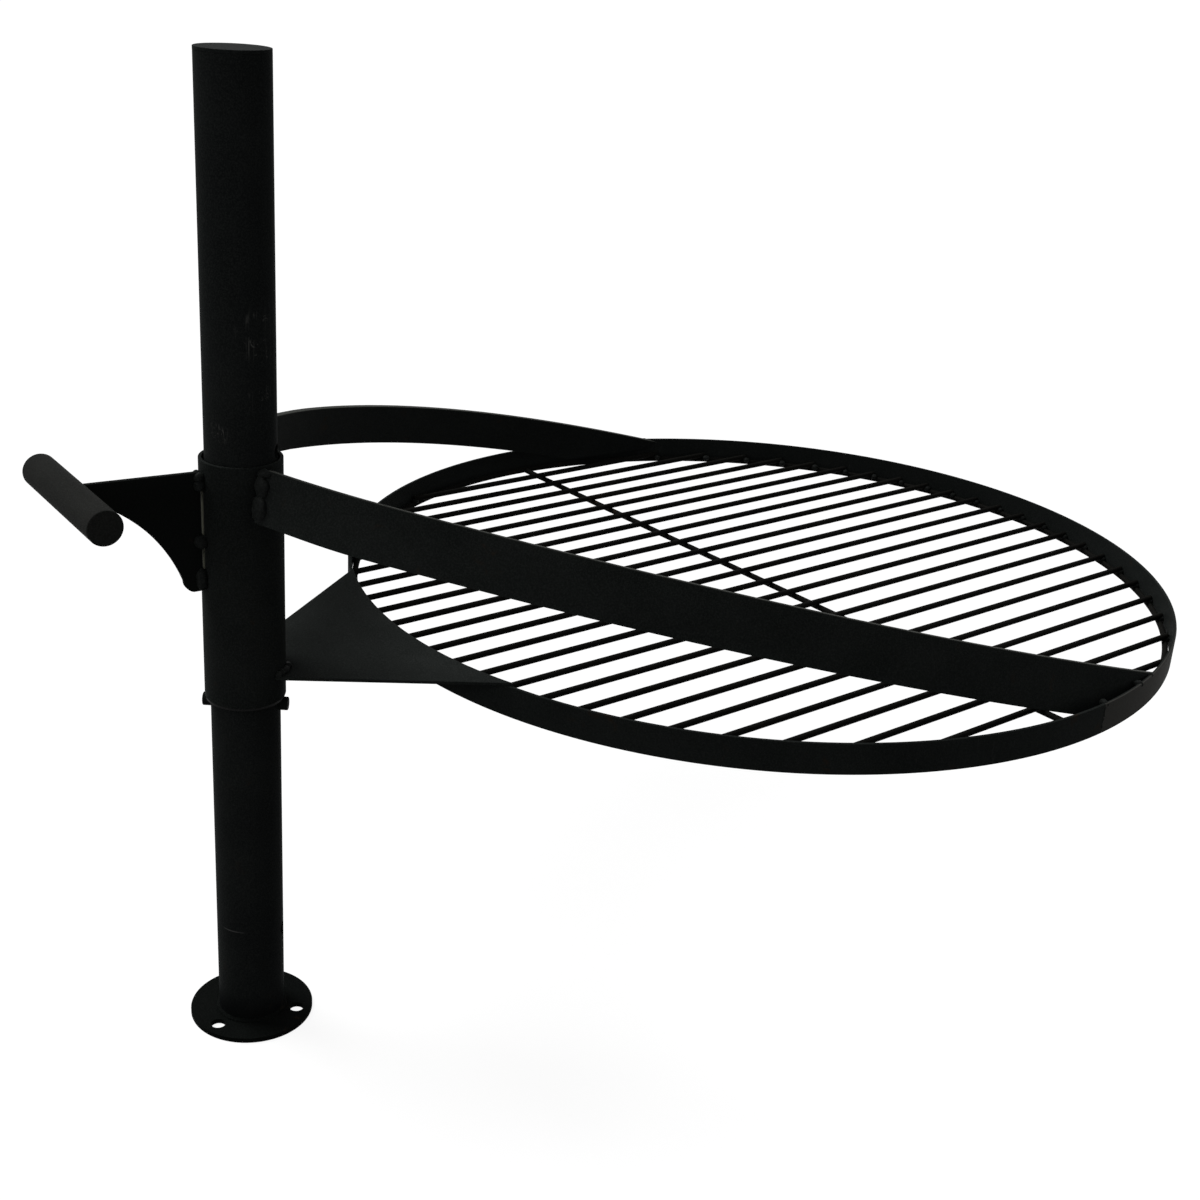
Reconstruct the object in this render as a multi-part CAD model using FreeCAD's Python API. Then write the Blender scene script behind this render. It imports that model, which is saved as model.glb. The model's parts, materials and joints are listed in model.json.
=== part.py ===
import FreeCAD, Part
import math
import os

# Swing grill: a round cooking grate on a sleeve that turns and slides on a bolted post.
# Millimetres, +Z up, origin on the post axis at the flange underside, +X towards the grate.

V = FreeCAD.Vector

# Fits between pieces
MOVE_GAP = 0.3          # clearance between pieces that move on each other
PIN_FIT = 0.3           # radial clearance of the support pin in its holes
WASHER_FIT = 0.6        # radial clearance of the thrust washer on the post

# Base flange and post
FLANGE_D = 113.0
FLANGE_T = 5.0
BOLT_COUNT = 3
BOLT_HOLE_D = 13.0
BOLT_CIRCLE_D = 86.0
BOLT_ANGLE = -39.5      # direction of the first bolt hole, degrees from +X
POST_D = 60.3
POST_WALL = 3.0
POST_TOP = 874.0
CAP_T = 3.0
FOOT_WELD_LEG = 3.0

# Support pin and its holes through the post
PIN_D = 12.0
PIN_L = 75.0
PIN_CHAMFER = 0.8
PIN_ANGLE = -36.0       # direction of the pin, degrees from +X
PIN_Z = 323.0
PIN_PITCH = 232.0       # step between neighbouring pin holes
PIN_STEPS = (-1, 0, 1)  # holes below, at and above the fitted pin

# Thrust washer and sleeve
SLEEVE_D = 70.0
SLEEVE_WALL = 3.0
SLEEVE_L = 217.5
WASHER_D = 68.0
WASHER_T = 2.0

# Ring of flat bar round the grate
RING_REACH = 579.0      # post axis to ring centre
RING_D = 856.0
RING_T = 3.0
RING_H = 29.0

# Web plate between sleeve and ring
PLATE_T = 3.0
PLATE_RISE = 29.4       # plate underside above the sleeve's lower end
PLATE_ROOT_HALF = 23.0  # half width on the post axis
PLATE_HALF_ANGLE = 20.2  # half of the arc it covers on the ring, degrees
PLATE_OVERRUN = 40.0    # blank length past the ring, trimmed to the ring

# Arms of flat bar on edge
ARM_H = 46.8
ARM_T = 5.0
ARM_DROP = 1.8          # plane of the top edges below the sleeve top, on the post axis
ARM_ROOT_Y = 27.4       # start of the bend, inside the sleeve wall
ARM_ROOT_ANGLE = 73.1   # direction of the bar at the sleeve, degrees from forward
ARM_BEND_R = 226.0      # tight bend next to the sleeve
ARM_BEND_SWEEP = 29.8
ARM_TILT = 0.072        # rise of the arm's plane per unit sideways
ARM_LEAN = 0.342        # lean of the bar's faces towards the middle, per unit height
ARM_END_ANGLE = 68.9    # where the arm meets the ring, degrees from +X
ARM_END_DROP = 2.0      # top corner below the ring's upper edge
ARM_CUT_DROP = 13.0     # level cut under the arm's end, below the ring's upper edge
ARM_TAIL = 40.0         # blank length past either end, trimmed to the sleeve and the ring

# Grate of round rods on a round hoop
ROD_D = 6.0
ROD_COUNT = 23          # an odd number, evenly spread over the ring
ROD_CREEP = 0.1         # the steps close up towards +Y by twice this per rod
ROD_OFFSET = 15.0       # middle rod off the ring centre
ROD_END_GAP = 0.3       # rod end to ring wall, at the nearest corner
ROD_EDGE = 47.7         # mean room between the outer rods and the ring wall
GRATE_ANGLE = 4.0       # rods turned from the ring's axis, degrees
CROSS_OFFSET = 6.0      # bearer rod off the ring centre, along the rods
HOOP_SIDES = 8          # the hoop's section is a polygon as high as a rod, flat under the rods
HOOP_GAP = 1.0          # hoop to ring wall
HOOP_LIFT = 1.0         # hoop above the ring's lower edge

# Handle: gusset plate and crossbar
BAR_D = 29.0
BAR_L = 155.0
BAR_CHAMFER = 0.8
BAR_X = -143.3
BAR_BELOW = 16.8        # bar axis below the sleeve top
GUSSET_T = 5.0
GUSSET_DROP = 9.0       # gusset top edge below the sleeve top
GUSSET_ROOT_H = 104.7
GUSSET_GAP = 2.0        # slit between gusset and sleeve, bridged by three welds
GUSSET_TIP_RISE = 2.6   # top edge rises this much towards the bar
GUSSET_TIP_H = 15.8     # plate height at the bar
GUSSET_HOLLOW_R = 142.4  # concave lower edge
FOOT_OUT = 16.6         # foot of the hollow, out from the gusset root
FOOT_UP = 10.9          # foot of the hollow, above the lower end
FOOT_FLAT = 8.0         # straight lower end of the gusset
FOOT_BULGE = 2.4        # roundness of the gusset's lower corner
GUSSET_WELD_R = 4.8
WELD_SIDES = 8          # the welds are faceted, eased at both ends
GUSSET_WELDS = ((0.02, 14.0), (0.52, 10.5), (0.81, 18.0))  # start down the root, length

# Levels and radii that follow from the sizes above
post_r = POST_D / 2
sleeve_r = SLEEVE_D / 2
pin_r = PIN_D / 2
rod_r = ROD_D / 2
bar_r = BAR_D / 2
washer_z = PIN_Z + pin_r + MOVE_GAP
sleeve_z = washer_z + WASHER_T + MOVE_GAP
sleeve_top = sleeve_z + SLEEVE_L
ring_top = sleeve_z + PLATE_RISE
ring_low = ring_top - RING_H
ring_r = RING_D / 2
ring_in = ring_r - RING_T
hoop_r = ring_in - HOOP_GAP - rod_r
hoop_z = ring_low + HOOP_LIFT + rod_r
rod_z = hoop_z + ROD_D
ring_axis = V(RING_REACH, 0, 0)
up = V(0, 0, 1)


def save(name, shape):
    """Write one piece to its own file."""
    shape.removeSplitter().exportStep("parts/" + name + ".step")


def cylinder(radius, low, high, centre=V(0, 0, 0)):
    """Upright cylinder between two levels."""
    return Part.makeCylinder(radius, high - low, V(centre.x, centre.y, low), up)


def tube(radius, wall, low, high, centre=V(0, 0, 0)):
    """Upright tube between two levels."""
    return cylinder(radius, low, high, centre).cut(cylinder(radius - wall, low, high, centre))


def polar(radius, degrees, z=0.0):
    """Point at a radius and direction round the post axis."""
    turn = math.radians(degrees)
    return V(radius * math.cos(turn), radius * math.sin(turn), z)


def bar_along(centre, direction, radius, length, chamfer):
    """Round bar centred on a point, with its two ends chamfered."""
    bar = Part.makeCylinder(radius, length, centre - direction * (length / 2), direction)
    rims = [e for e in bar.Edges if len(e.Vertexes) == 1]
    return bar.makeChamfer(chamfer, rims)


def bulged(start, end, rise, side):
    """Arc from start to end whose middle stands off the chord by rise, towards side."""
    return Part.Arc(start, (start + end) * 0.5 + side * rise, end).toShape()


def base_flange():
    """Round plate with three bolt holes."""
    plate = cylinder(FLANGE_D / 2, 0, FLANGE_T)
    for i in range(BOLT_COUNT):
        at = polar(BOLT_CIRCLE_D / 2, BOLT_ANGLE + i * 360 / BOLT_COUNT)
        plate = plate.cut(cylinder(BOLT_HOLE_D / 2, 0, FLANGE_T, at))
    return plate


def post():
    """Tube standing on the flange, drilled across for the support pin."""
    shape = tube(post_r, POST_WALL, FLANGE_T, POST_TOP - CAP_T)
    across = polar(1, PIN_ANGLE)
    for step in PIN_STEPS:
        middle = V(0, 0, PIN_Z + step * PIN_PITCH)
        hole = Part.makeCylinder(pin_r + PIN_FIT, POST_D, middle - across * post_r, across)
        shape = shape.cut(hole)
    return shape


def foot_weld():
    """Fillet weld round the post foot."""
    low = V(post_r, 0, FLANGE_T)
    edge = [low, low + V(FOOT_WELD_LEG, 0, 0), low + V(0, 0, FOOT_WELD_LEG), low]
    return Part.Face(Part.makePolygon(edge)).revolve(V(0, 0, 0), up, 360)


def web_plate():
    """Flat plate from the sleeve out over the ring's upper edge."""
    half = math.radians(PLATE_HALF_ANGLE)
    corner = V(RING_REACH - ring_r * math.cos(half), ring_r * math.sin(half), 0)
    slope = (corner.y - PLATE_ROOT_HALF) / corner.x
    end_x = corner.x + PLATE_OVERRUN
    end_y = PLATE_ROOT_HALF + slope * end_x
    edge = [(0, -PLATE_ROOT_HALF), (end_x, -end_y), (end_x, end_y), (0, PLATE_ROOT_HALF)]
    points = [V(x, y, ring_top) for x, y in edge]
    plate = Part.Face(Part.makePolygon(points + points[:1])).extrude(up * PLATE_T)
    plate = plate.cut(cylinder(sleeve_r, sleeve_z, sleeve_top))
    return plate.cut(cylinder(ring_in, ring_low, sleeve_top, ring_axis))


def left_arm():
    """Flat bar bowed in a tilted plane: a tight bend, then one long arc to the ring wall."""
    top = V(0, 0, sleeve_top - ARM_DROP)
    turn = math.radians(ARM_END_ANGLE)
    end = ring_axis + V(ring_in * math.cos(turn), ring_in * math.sin(turn), ring_top - ARM_END_DROP)
    fall = (top.z - end.z + ARM_TILT * end.y) / end.x
    normal = V(fall, -ARM_TILT, 1).normalize()
    upright = V(fall, -ARM_LEAN, 1).normalize()
    ahead = V(1, 0, -fall).normalize()
    aside = normal.cross(ahead)

    def heading(degrees):
        a = math.radians(degrees)
        return ahead * math.cos(a) + aside * math.sin(a)

    root = top + aside * ARM_ROOT_Y
    centre = root + heading(ARM_ROOT_ANGLE - 90) * ARM_BEND_R
    mid_angle = ARM_ROOT_ANGLE - ARM_BEND_SWEEP
    join = centre - heading(mid_angle - 90) * ARM_BEND_R
    chord = end - join
    chord_angle = math.degrees(math.atan2(chord.dot(aside), chord.dot(ahead)))
    swing = mid_angle - chord_angle
    long_r = chord.Length / (2 * math.sin(math.radians(swing)))
    far_centre = join + heading(mid_angle - 90) * long_r
    end_angle = mid_angle - 2 * swing

    def side(offset):
        """Points of one face of the bar, as two arcs between straight tails."""
        bend, bow = ARM_BEND_R + offset, long_r + offset
        marks = [centre - heading(ARM_ROOT_ANGLE - ARM_BEND_SWEEP * k / 2 - 90) * bend for k in range(3)]
        marks += [far_centre - heading(mid_angle - swing * k - 90) * bow for k in range(1, 3)]
        start = marks[0] - heading(ARM_ROOT_ANGLE) * ARM_TAIL
        return [start] + marks + [marks[-1] + heading(end_angle) * ARM_TAIL]

    outer, inner = side(ARM_T / 2), side(-ARM_T / 2)
    edges = []
    for marks in (outer, inner):
        edges.append(Part.makeLine(marks[0], marks[1]))
        edges.append(Part.Arc(marks[1], marks[2], marks[3]).toShape())
        edges.append(Part.Arc(marks[3], marks[4], marks[5]).toShape())
        edges.append(Part.makeLine(marks[5], marks[6]))
    edges.append(Part.makeLine(outer[0], inner[0]))
    edges.append(Part.makeLine(outer[-1], inner[-1]))
    outline = Part.Wire(Part.__sortEdges__(edges))
    bar = Part.Face(outline).extrude(upright * -ARM_H)
    bar = bar.cut(cylinder(sleeve_r, sleeve_z, sleeve_top + ARM_H))
    beyond = tube(ring_r + ARM_TAIL, RING_T + ARM_TAIL, ring_low - ARM_H, sleeve_top, ring_axis)
    beyond = beyond.common(Part.makeBox(RING_D, RING_D, RING_D, V(RING_REACH, 0, 0)))
    under = Part.makeBox(2 * RING_D, RING_D, ring_top - ARM_CUT_DROP)
    return bar.cut(beyond).cut(under)


def grate_rod(offset):
    """Straight rod across the hoop, sawn square just inside the ring wall."""
    turn = math.radians(GRATE_ANGLE)
    along, across = V(math.cos(turn), math.sin(turn), 0), V(-math.sin(turn), math.cos(turn), 0)
    reach = math.sqrt(ring_in ** 2 - (abs(offset) + rod_r) ** 2) - ROD_END_GAP
    middle = ring_axis + across * offset + up * rod_z
    return Part.makeCylinder(rod_r, 2 * reach, middle - along * reach, along)


def grate_hoop():
    """Hoop under the rod ends, turned from a polygon with a flat top."""
    corner_r = rod_r / math.cos(math.pi / HOOP_SIDES)
    turns = [math.pi * (2 * i + 1) / HOOP_SIDES for i in range(HOOP_SIDES)]
    middle = ring_axis + V(hoop_r, 0, hoop_z)
    points = [middle + V(math.cos(a), 0, math.sin(a)) * corner_r for a in turns]
    return Part.Face(Part.makePolygon(points + points[:1])).revolve(ring_axis, up, 360)


def cross_rod(hoop):
    """Bearer under the rods, between the inner sides of the hoop."""
    turn = math.radians(GRATE_ANGLE)
    along, across = V(-math.sin(turn), math.cos(turn), 0), V(math.cos(turn), math.sin(turn), 0)
    reach = hoop_r - rod_r
    middle = ring_axis + across * CROSS_OFFSET + up * hoop_z
    rod = Part.makeCylinder(rod_r, 2 * reach, middle - along * reach, along)
    return rod.cut(hoop)


def handle_gusset(bar):
    """Upright plate with a hollow lower edge, coped to the crossbar."""
    root = -sleeve_r - GUSSET_GAP
    top = sleeve_top - GUSSET_DROP
    low = top - GUSSET_ROOT_H
    a, b = V(root, 0, top), V(BAR_X, 0, top + GUSSET_TIP_RISE)
    c = V(BAR_X + bar_r, 0, b.z - GUSSET_TIP_H)
    d, e = V(root - FOOT_OUT, 0, low + FOOT_UP), V(root - FOOT_FLAT, 0, low)
    f, tip = V(root, 0, low), V(BAR_X, 0, c.z)
    half = (d - c).Length / 2
    hollow = GUSSET_HOLLOW_R - math.sqrt(GUSSET_HOLLOW_R ** 2 - half ** 2)
    inward = (d - c).cross(V(0, 1, 0)).normalize()
    outward = (e - d).cross(V(0, -1, 0)).normalize()
    edges = [Part.makeLine(a, b), Part.makeLine(b, tip), Part.makeLine(tip, c),
             bulged(c, d, hollow, inward), bulged(d, e, FOOT_BULGE, outward),
             Part.makeLine(e, f), Part.makeLine(f, a)]
    plate = Part.Face(Part.Wire(edges)).extrude(V(0, GUSSET_T, 0))
    plate.translate(V(0, -GUSSET_T / 2, 0))
    return plate.cut(bar)


def gusset_weld(start, length, gusset):
    """Weld bead that bridges the slit between gusset and sleeve."""
    top = sleeve_top - GUSSET_DROP - start * GUSSET_ROOT_H
    at = V(-sleeve_r - GUSSET_GAP / 2, 0, top - length)
    points = [at + polar(GUSSET_WELD_R, 360 * (i + 0.5) / WELD_SIDES) for i in range(WELD_SIDES)]
    bead = Part.Face(Part.makePolygon(points + points[:1])).extrude(up * length)
    ends = [e for e in bead.Edges if e.Vertexes[0].Z == e.Vertexes[1].Z]
    bead = bead.makeChamfer(GUSSET_WELD_R / 2, ends)
    return bead.cut(cylinder(sleeve_r, sleeve_z, sleeve_top)).cut(gusset)


os.makedirs("parts", exist_ok=True)

save("base_flange", base_flange())
save("foot_weld", foot_weld())
save("post", post())
save("post_cap", cylinder(post_r, POST_TOP - CAP_T, POST_TOP))

save("support_pin", bar_along(V(0, 0, PIN_Z), polar(1, PIN_ANGLE), pin_r, PIN_L, PIN_CHAMFER))
washer_wall = WASHER_D / 2 - post_r - WASHER_FIT
save("thrust_washer", tube(WASHER_D / 2, washer_wall, washer_z, washer_z + WASHER_T))

save("sleeve", tube(sleeve_r, SLEEVE_WALL, sleeve_z, sleeve_top))
save("ring", tube(ring_r, RING_T, ring_low, ring_top, ring_axis))
save("web_plate", web_plate())
arm = left_arm()
save("left_arm", arm)
save("right_arm", arm.mirror(V(0, 0, 0), V(0, 1, 0)))

hoop = grate_hoop()
save("grate_hoop", hoop)
save("grate_cross_rod", cross_rod(hoop))
half_count = ROD_COUNT // 2
rod_pitch = (ring_in - ROD_EDGE) / half_count
for i in range(ROD_COUNT):
    k = i - half_count
    save("grate_rod_%02d" % (i + 1), grate_rod(ROD_OFFSET + rod_pitch * k - ROD_CREEP * k * k))

crossbar = bar_along(V(BAR_X, 0, sleeve_top - BAR_BELOW), V(0, 1, 0), bar_r, BAR_L, BAR_CHAMFER)
gusset = handle_gusset(crossbar)
save("handle_bar", crossbar)
save("handle_gusset", gusset)
for i, (start, length) in enumerate(GUSSET_WELDS):
    save("gusset_weld_%d" % (i + 1), gusset_weld(start, length, gusset))
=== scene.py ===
"""Swing grill: satin black steel, welded, on a white ground.

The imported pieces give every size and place. Each sub-assembly below makes its pieces with softened
edges over them, adds the welds, and paints everything.
"""

import json
import logging
import math
from dataclasses import dataclass, field, replace
from enum import Enum
from typing import Any, Iterable, Optional, Sequence, Union

import bmesh
import bpy
from mathutils import Matrix, Vector, noise

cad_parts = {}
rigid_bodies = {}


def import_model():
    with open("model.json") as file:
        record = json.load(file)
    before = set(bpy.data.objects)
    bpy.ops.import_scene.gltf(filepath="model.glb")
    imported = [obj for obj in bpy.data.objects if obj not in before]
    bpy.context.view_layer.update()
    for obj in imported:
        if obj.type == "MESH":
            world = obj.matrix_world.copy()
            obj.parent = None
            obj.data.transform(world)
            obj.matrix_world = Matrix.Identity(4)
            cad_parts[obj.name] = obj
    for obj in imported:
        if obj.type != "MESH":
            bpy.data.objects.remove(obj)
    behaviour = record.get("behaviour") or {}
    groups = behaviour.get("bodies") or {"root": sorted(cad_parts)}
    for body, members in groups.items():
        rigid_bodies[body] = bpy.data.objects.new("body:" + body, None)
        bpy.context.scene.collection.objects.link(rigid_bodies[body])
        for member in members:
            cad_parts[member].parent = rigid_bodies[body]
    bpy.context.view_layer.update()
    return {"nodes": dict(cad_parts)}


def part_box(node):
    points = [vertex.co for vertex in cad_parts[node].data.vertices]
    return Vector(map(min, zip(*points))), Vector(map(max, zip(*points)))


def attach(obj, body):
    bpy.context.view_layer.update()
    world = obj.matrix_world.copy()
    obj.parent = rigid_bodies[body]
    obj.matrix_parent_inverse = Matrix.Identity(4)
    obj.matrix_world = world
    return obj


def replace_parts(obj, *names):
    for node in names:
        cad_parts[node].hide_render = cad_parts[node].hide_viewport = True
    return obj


LOG = logging.getLogger("swing_grill")
MM = 0.001
WHOLE_TURN = 2 * math.pi
QUARTER_TURN = math.pi / 2
SAME_POINT = 1e-7
LOOSE_POINT = 1e-6
FLAT_ANGLE = 0.002
NOISE_MIDDLE = 0.5
WHITE = (1.0, 1.0, 1.0, 1.0)
Pair = tuple[float, float]
Triple = tuple[float, float, float]
Colour = Triple
Box = tuple[Vector, Vector]


class Body(str, Enum):
    """Rigid bodies of the grill."""

    BASE = "base"
    PIN = "pin"
    WASHER = "washer"
    FRAME = "swing_frame"


class Slot(str, Enum):
    """Material slots that the record names."""

    POST = "post_paint"
    FRAME = "frame_paint"
    HANDLE = "handle_paint"
    GRATE = "grate_paint"
    PIN = "pin_paint"
    WASHER = "washer_steel"


class Finish(str, Enum):
    """Finishes, named for what they cover."""

    POST = "post_black"
    # Darker copy of the black paint for the flange and foot weld: painted shade.
    FOOT = "foot_black"
    FRAME = "frame_black"
    # Lighter copy of the black paint for the web plate: painted light.
    PLATE = "plate_black"
    ARM = "arm_black"
    SLEEVE = "sleeve_black"
    RING = "ring_black"
    # Darker copy of the black paint for the gusset: painted shade.
    GUSSET = "gusset_black"
    HANDLE = "handle_black"
    GRATE = "grate_black"
    PIN = "pin_black"
    WELD = "weld_black"
    HANDLE_WELD = "handle_weld_black"
    GRATE_WELD = "grate_weld_black"
    WASHER = "washer_dark"


class Sock:
    """A shader value whose arithmetic adds Math nodes."""

    def __init__(self, tree: "ShaderTree", socket: bpy.types.NodeSocket) -> None:
        """Wrap one output socket."""
        self.tree, self.socket = tree, socket

    def _math(self, operation: str, first: "Value", second: "Value") -> "Sock":
        """One Math node on two values."""
        return self.tree.add("Math", {"operation": operation}, {0: first, 1: second})

    def __add__(self, other: "Value") -> "Sock":
        """Sum."""
        return self._math("ADD", self, other)

    __radd__ = __add__

    def __sub__(self, other: "Value") -> "Sock":
        """Difference."""
        return self._math("SUBTRACT", self, other)

    def __rsub__(self, other: "Value") -> "Sock":
        """Difference from a value on the left."""
        return self._math("SUBTRACT", other, self)

    def __mul__(self, other: "Value") -> "Sock":
        """Product."""
        return self._math("MULTIPLY", self, other)

    __rmul__ = __mul__

    def __abs__(self) -> "Sock":
        """Distance from zero."""
        return self._math("ABSOLUTE", self, 0.0)

    def band(self, low: float, high: float) -> "Sock":
        """Ramp from 0 at low to 1 at high, held at both ends."""
        return self.tree.add("MapRange", {"interpolation_type": "SMOOTHSTEP"},
                             {"Value": self, "From Min": low, "From Max": high})


Value = Union[Sock, float]
Inputs = dict[Union[str, int], Any]


@dataclass(frozen=True)
class Place:
    """Where a point of a piece lies: as one vector, and by axis."""

    whole: Sock
    x: Sock
    y: Sock
    z: Sock


@dataclass(frozen=True)
class Mottle:
    """Noise pattern: scale per metre, detail and bend."""

    scale: float
    detail: float
    bend: float = 0.0


class ShaderTree:
    """Nodes of one material or world."""

    def __init__(self, owner: Union[bpy.types.Material, bpy.types.World]) -> None:
        """Start from an empty tree.

        Args:
            owner: the material or world that holds the nodes.
        """
        owner.use_nodes = True
        self.nodes, self.links = owner.node_tree.nodes, owner.node_tree.links
        self.nodes.clear()

    def add(self, kind: str, settings: Optional[dict[str, Any]] = None, inputs: Optional[Inputs] = None,
            output: Union[str, int] = 0) -> Optional[Sock]:
        """Add one node.

        Args:
            kind: node type without its common prefix.
            settings: properties, set before the sockets.
            inputs: values or links by socket name or number.
            output: name or number of the socket to hand back.

        Returns:
            The chosen output, or None for an end node.
        """
        node = self.nodes.new("ShaderNode" + kind)
        for key, value in (settings or {}).items():
            setattr(node, key, value)
        for key, value in (inputs or {}).items():
            if isinstance(value, Sock):
                self.links.new(value.socket, node.inputs[key])
            else:
                node.inputs[key].default_value = value
        return Sock(self, node.outputs[output]) if len(node.outputs) else None

    def place(self) -> Place:
        """Object coordinates, whole and by axis."""
        whole = self.add("TexCoord", output="Object")
        return Place(whole, *(self.add("SeparateXYZ", None, {"Vector": whole}, axis) for axis in "XYZ"))

    def tint(self, amount: Value, under: Union[Sock, Colour], over: Colour) -> Sock:
        """Lay one colour over another by a mask."""
        base = under if isinstance(under, Sock) else (*under, 1.0)
        return self.add("Mix", {"data_type": "RGBA"}, {0: amount, 6: base, 7: (*over, 1.0)}, 2)

    def mottle(self, place: Sock, pattern: Mottle) -> Sock:
        """Noise value of a pattern at a place."""
        return self.add("TexNoise", None, {"Vector": place, "Scale": pattern.scale,
                                           "Detail": pattern.detail, "Distortion": pattern.bend})


@dataclass(frozen=True)
class Textures:
    """Noise values that one paint is mixed from."""

    sand: Sock
    cloud: Sock
    patch: Sock
    flake: Sock
    lines: Sock


@dataclass(frozen=True, kw_only=True)
class Mark:
    """Something that shows on the paint in one place; painted light and painted shade are marks too."""

    colour: Colour

    def mask(self, place: Place, look: Textures) -> Sock:
        """Where the mark shows, from 0 to 1."""
        raise NotImplementedError


@dataclass(frozen=True, kw_only=True)
class PaintedLightStretch(Mark):
    """Lighter stretch on the outside of the ring, starting at its closing seam and fading away from it:
    painted light from the right.
    """

    colour: Colour = (0.045, 0.044, 0.041)
    start: float
    ring_middle: float = 579 * MM
    ring_radius: float = 428 * MM
    blur: float = 1 * MM
    fade: Pair = (110 * MM, 300 * MM)
    seam_side: Pair = (100 * MM, 300 * MM)
    cover: Pair = (0.5, 0.6)

    def mask(self, place: Place, look: Textures) -> Sock:
        """Find the stretch by its place along and across the ring.

        Args:
            place: object coordinates.
            look: noise of the paint.

        Returns:
            How strongly the painted light shows, and 0 beyond the stretch.
        """
        along = place.x - self.ring_middle
        squared = along * along + place.y * place.y
        rim = self.ring_radius - self.blur
        outside = squared.band((rim - self.blur) ** 2, rim ** 2)
        begun = place.x.band(self.start - self.blur, self.start + self.blur)
        left = 1.0 - place.x.band(self.start + self.fade[0], self.start + self.fade[1])
        beside = (0.0 - place.y).band(*self.seam_side)
        return begun * left * beside * outside * (self.cover[0] + look.sand * self.cover[1])


@dataclass(frozen=True, kw_only=True)
class PaintedFootShade(Mark):
    """Painted shade at the foot of the post, near the flange, fading out upwards."""

    colour: Colour = (0.0025, 0.0028, 0.0030)
    top: float
    full_share: float = 0.4
    strength: float = 0.8
    waver: float = 30 * MM

    def mask(self, place: Place, look: Textures) -> Sock:
        """Full below a share of the top level, and gone above the top."""
        clear = (place.z + look.cloud * self.waver).band(self.full_share * self.top, self.top)
        return self.strength - clear * self.strength


@dataclass(frozen=True, kw_only=True)
class PaintedLightStreak(Mark):
    """Painted streak of light on the sleeve behind the slit of the gusset, where light shines through the
    slit.
    """

    colour: Colour = (0.11, 0.11, 0.085)
    low: float
    high: float
    taper: float = 4 * MM
    half_width: Pair = (1.6 * MM, 3.0 * MM)
    behind: Pair = (30 * MM, 32 * MM)

    def mask(self, place: Place, look: Textures) -> Sock:
        """Find the streak by its height, width and side.

        Args:
            place: object coordinates.
            look: noise of the paint; not used.

        Returns:
            1 on the streak, 0 elsewhere.
        """
        above = place.z.band(self.low, self.low + self.taper)
        below = 1.0 - place.z.band(self.high - self.taper, self.high)
        narrow = 1.0 - abs(place.y).band(*self.half_width)
        return above * below * narrow * (0.0 - place.x).band(*self.behind)


@dataclass(frozen=True, kw_only=True)
class PaintedHighlightEdges(Mark):
    """Painted highlight along the upper edges of the arms: one sloping plane for each side."""

    colour: Colour = (0.058, 0.060, 0.055)
    fall: float
    tilt: float
    level: float
    depth: Pair = (0.9 * MM, 0.3 * MM)
    cover: Pair = (0.35, 0.9)

    def mask(self, place: Place, look: Textures) -> Sock:
        """Find the edges by their height over the plane.

        Args:
            place: object coordinates.
            look: noise of the paint.

        Returns:
            How strong the painted highlight is, and 0 away from the edges.
        """
        height = place.z + place.x * self.fall - abs(place.y) * self.tilt
        edge = height.band(self.level - self.depth[0], self.level - self.depth[1])
        return edge * (self.cover[0] + look.sand * self.cover[1])


@dataclass(frozen=True, kw_only=True)
class Scrape(Mark):
    """Patch of bare strokes and chips round a spot, with its reach, in millimetres."""

    colour: Colour = (0.085, 0.085, 0.080)
    spot: Triple
    reach: float
    full_share: float = 0.4
    strength: float = 0.6
    stroke: Pair = (0.004, 0.013)
    chips: Mottle = Mottle(190.0, 4.0, 1.8)
    chip: Pair = (0.61, 0.68)
    flake: Pair = (0.42, 0.60)

    def mask(self, place: Place, look: Textures) -> Sock:
        """Break strokes and chips up with the flakes, and keep them near the spot.

        Args:
            place: object coordinates.
            look: noise of the paint.

        Returns:
            How bare the patch is.
        """
        tree = place.whole.tree
        away = tree.add("VectorMath", {"operation": "DISTANCE"},
                        {0: place.whole, 1: Vector(self.spot) * MM}, "Value")
        near = 1.0 - away.band(self.full_share * self.reach * MM, self.reach * MM)
        strokes = 1.0 - look.lines.band(*self.stroke)
        chips = tree.mottle(place.whole, self.chips).band(*self.chip)
        return near * look.flake.band(*self.flake) * (strokes + chips).band(0.0, 1.0) * self.strength


@dataclass(frozen=True)
class RubbedLine:
    """Thin rubbed line round the post, where the sleeve has sat on another pin hole."""

    level: float
    half_width: Pair = (0.3 * MM, 0.9 * MM)
    handle_side: Pair = (12 * MM, 20 * MM)
    flake: Pair = (0.42, 0.62)

    def mask(self, place: Place, look: Textures) -> Sock:
        """The line on the handle's side, broken up by flakes."""
        line = 1.0 - abs(place.z - self.level).band(*self.half_width)
        return line * (0.0 - place.x).band(*self.handle_side) * look.flake.band(*self.flake)


@dataclass(frozen=True)
class Wear:
    """Levels of the noise between which wear sets in, and how much of it shows."""

    thin_cloud: Pair = (0.3, 0.8)
    thin_sand: Pair = (0.36, 0.74)
    cloud_share: float = 0.35
    hairline: Pair = (0.0, 0.004)
    hairline_patch: Pair = (0.60, 0.68)
    scuff_flake: Pair = (0.62, 0.72)
    scuff_cloud: Pair = (0.52, 0.66)
    rough_cloud: float = 0.22
    rough_scuff: float = 0.2
    bump_cloud: float = 0.8


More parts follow.
